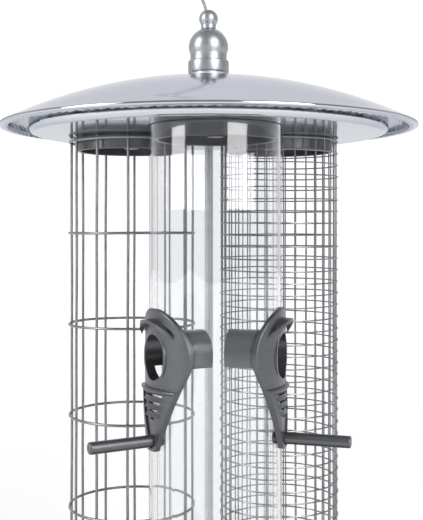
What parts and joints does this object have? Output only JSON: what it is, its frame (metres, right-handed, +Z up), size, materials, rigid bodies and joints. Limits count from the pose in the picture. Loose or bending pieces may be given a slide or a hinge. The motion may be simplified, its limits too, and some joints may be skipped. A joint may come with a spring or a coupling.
{
  "type": "hanging bird feeder",
  "caption": "Hanging bird feeder: a clear seed tube with perches, a mesh tube and a wire cage stand on a tray round a central rod under a polished dome roof with a finial and a cable hanger.",
  "frame": {"origin": "middle of the tray's underside, where the rod's axis meets the surface it stands on", "axes": "+Z up the rod towards the roof, -Y towards the clear seed tube, +X towards the mesh tube"},
  "size_m": [0.215, 0.215, 0.4207],
  "materials": {
    "polished_steel": "polished stainless sheet",
    "zinc_steel": "bright zinc plate",
    "wire": "bright galvanised wire",
    "dark_plastic": "satin dark grey with fine metal fleck",
    "clear_plastic": "clear polycarbonate",
    "silver_plastic": "silver metallic paint on moulded plastic",
    "brass": "turned brass",
    "white_plastic": "natural nylon",
    "seal_rubber": "black rubber",
    "rope_steel": "twisted galvanised wire rope",
    "aluminium": "crimped aluminium",
    "eye_steel": "polished steel"
  },
  "bodies": {
    "frame": {"centre_rod": "zinc_steel", "rod_nuts": "zinc_steel", "rod_washers": "zinc_steel", "seed_tray": "polished_steel", "tube_base": "dark_plastic", "seed_tube": "clear_plastic", "port_upper_left": "dark_plastic", "port_upper_right": "dark_plastic", "port_lower_left": "dark_plastic", "port_lower_right": "dark_plastic", "perch_upper_left": "dark_plastic", "perch_upper_right": "dark_plastic", "perch_lower_left": "dark_plastic", "perch_lower_right": "dark_plastic", "cage_bars": "wire", "cage_rings": "wire", "mesh_bars": "wire", "mesh_rings_upper": "wire", "mesh_rings_lower": "wire"},
    "roof": {"dome_roof": "polished_steel", "roof_pan": "polished_steel", "roof_spacer": "white_plastic", "apex_seal": "seal_rubber", "plug_seed": "dark_plastic", "plug_mesh": "dark_plastic", "plug_cage": "dark_plastic", "plug_screws": "zinc_steel"},
    "thrust_washer": {"finial_washer": "zinc_steel"},
    "finial_knob": {"finial": "silver_plastic", "finial_insert": "brass", "cable_stop": "aluminium", "hanger_cable": "rope_steel", "eye_fitting": "eye_steel"}
  },
  "joints": [
    {"name": "roof_lift", "type": "slide", "parent": "frame", "child": "roof", "axis": [0, 0, 1], "range_m": [0, 0.12]},
    {"name": "finial_rise", "type": "slide", "parent": "roof", "child": "thrust_washer", "axis": [0, 0, 1], "range_m": [0, 0.00641]},
    {"name": "finial_spin", "type": "hinge", "parent": "thrust_washer", "child": "finial_knob", "pos_m": [0, 0, 0.345], "axis": [0, 0, 1], "range_deg": [0, 2880]}
  ],
  "couplings": [
    {"joint": "finial_rise", "follows": "finial_spin", "m_per_rad": 0.00012732}
  ]
}
